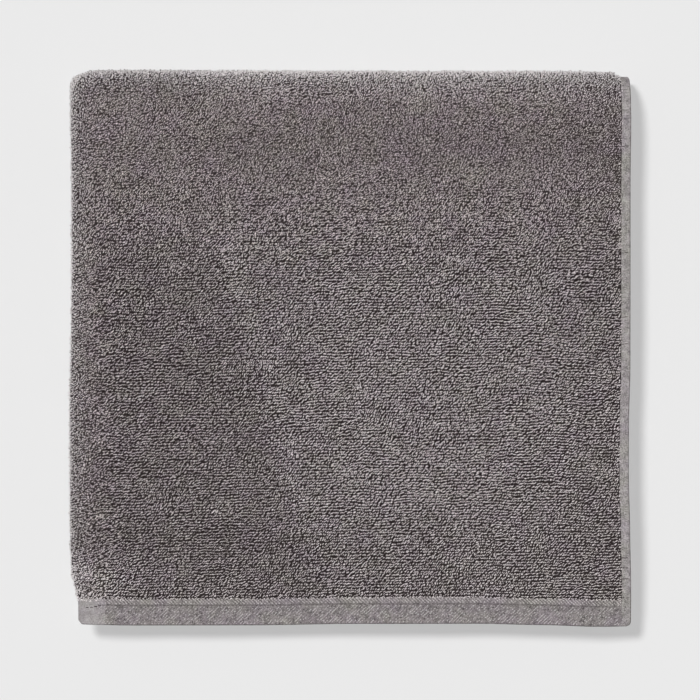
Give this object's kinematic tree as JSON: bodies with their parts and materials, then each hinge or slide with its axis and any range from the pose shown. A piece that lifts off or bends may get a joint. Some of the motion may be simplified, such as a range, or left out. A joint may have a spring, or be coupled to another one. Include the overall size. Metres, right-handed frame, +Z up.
{
  "type": "folded bath towel",
  "caption": "Terry bath towel folded into a flat square stack, with a wide rolled fold, a folded long side, open side hems and a woven end hem on top, ready on a shelf to dry the body.",
  "frame": {"origin": "middle of the underside, on the surface that the folded towel lies on", "axes": "+X across the towel, from the folded long side towards the side hems, +Y away from the top layer's end hem towards the wide roll, +Z up"},
  "size_m": [0.3444, 0.3404, 0.0326],
  "materials": {
    "terry": "grey cotton terry, looped on both faces, matt, with a soft uneven nap",
    "woven_hem": "the same grey yarn without pile, twill at the end hems and plain weave at the side hems, matt",
    "thread": "grey sewing thread in a single row of stitches"
  },
  "bodies": {
    "root": {"towel": "terry"}
  },
  "joints": []
}
